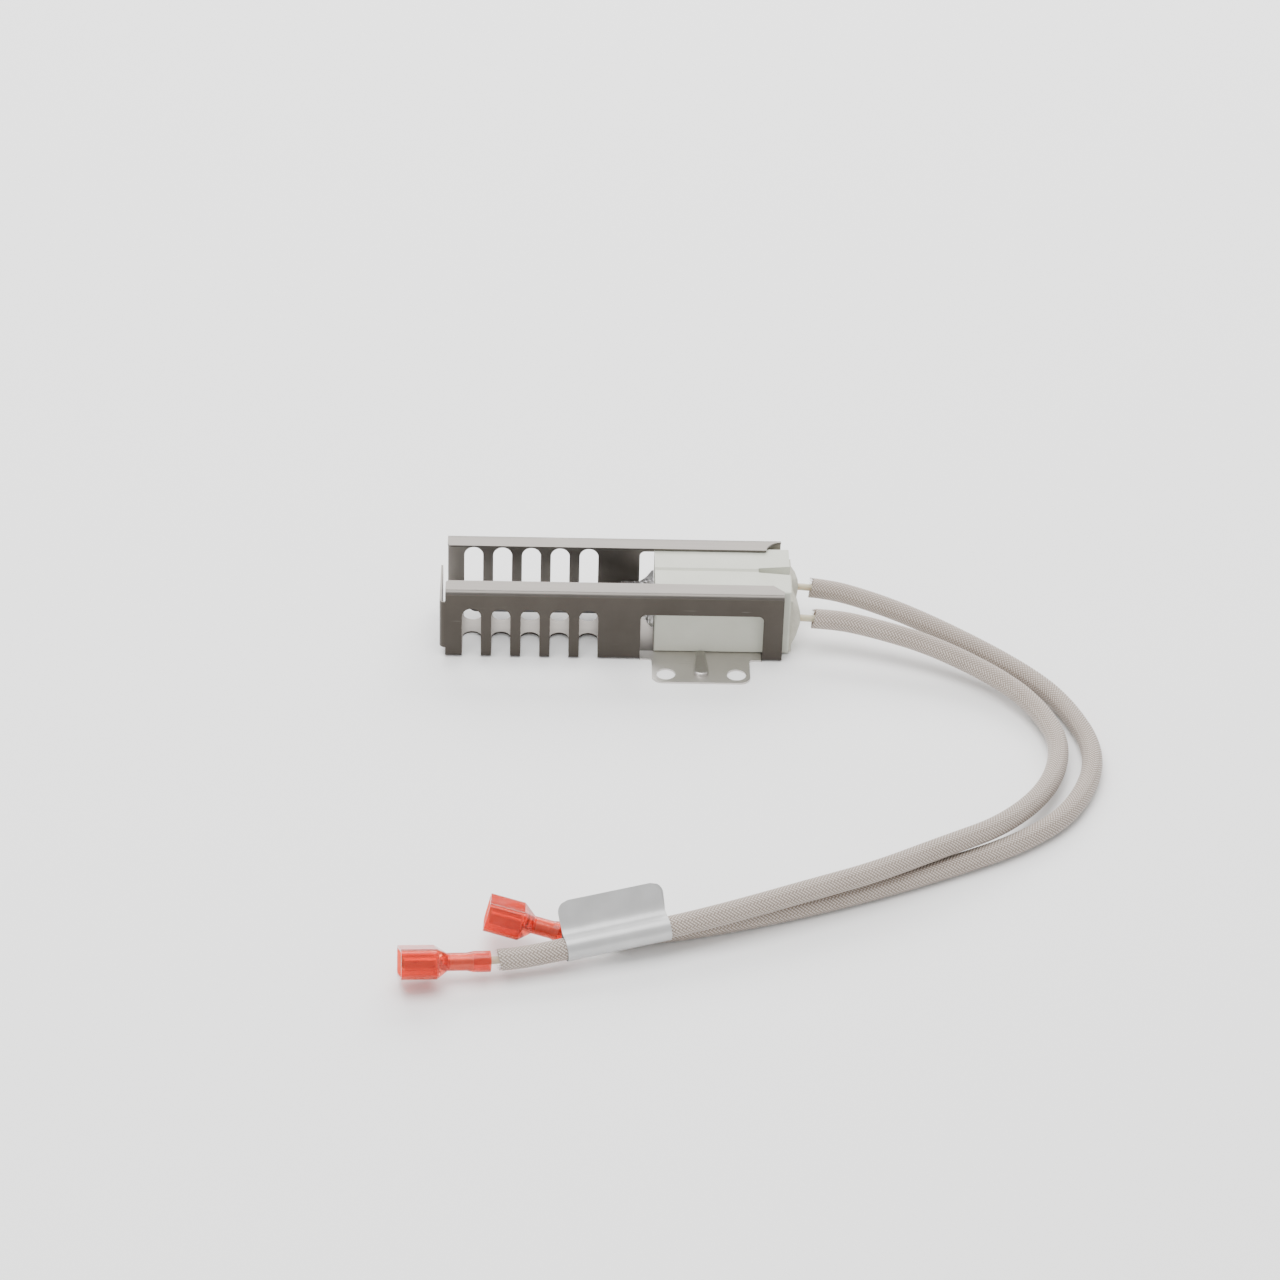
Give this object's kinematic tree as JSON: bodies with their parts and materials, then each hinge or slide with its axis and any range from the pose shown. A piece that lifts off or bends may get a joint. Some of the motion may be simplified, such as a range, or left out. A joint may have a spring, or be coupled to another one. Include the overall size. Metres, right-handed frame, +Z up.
{
  "type": "hot surface igniter",
  "caption": "Flat-style hot surface igniter: carbide element in a slotted steel cage, ceramic holder, sleeved leads with insulated push-on terminals.",
  "frame": {"origin": "midway between the two screw holes, on the underside of the mounting tab, level with the cage floor", "axes": "+X along the cage towards the leads, +Y from the tab into the cage, +Z up through the tab"},
  "size_m": [0.175, 0.1698, 0.0203],
  "materials": {
    "stainless_sheet": "cold-rolled stainless sheet, satin with fine rolling grain",
    "steatite": "fired steatite, unglazed, fine matte",
    "silicon_carbide": "recrystallised silicon carbide, granular and dark grey",
    "contact_alloy": "nickel alloy strip, heat-tinted",
    "cement": "ceramic cement, chalky and rounded",
    "wire_insulation": "high-temperature lead insulation, cream to tan",
    "woven_glass": "braided glass-fibre sleeve, warm grey-beige",
    "red_nylon": "translucent red nylon, smooth moulded",
    "brass_strip": "stamped brass, satin",
    "tinned_copper": "tinned copper sleeve, bright",
    "silver_label": "metallised polyester label, satin silver, blank"
  },
  "bodies": {
    "root": {"cage": "stainless_sheet", "holder_front_half": "steatite", "holder_rear_half": "steatite", "igniter_element": "silicon_carbide", "contact_clip_front": "contact_alloy", "contact_clip_rear": "contact_alloy", "lead_splice_front": "contact_alloy", "lead_splice_rear": "contact_alloy", "front_cement": "cement", "rear_cement": "cement", "lead_wire_front": "wire_insulation", "lead_wire_rear": "wire_insulation", "lead_sleeve_front": "woven_glass", "lead_sleeve_rear": "woven_glass", "terminal_shell_front": "red_nylon", "terminal_shell_rear": "red_nylon", "terminal_receptacle_front": "brass_strip", "terminal_receptacle_rear": "brass_strip", "terminal_ferrule_front": "tinned_copper", "terminal_ferrule_rear": "tinned_copper", "flag_label": "silver_label"}
  },
  "joints": []
}
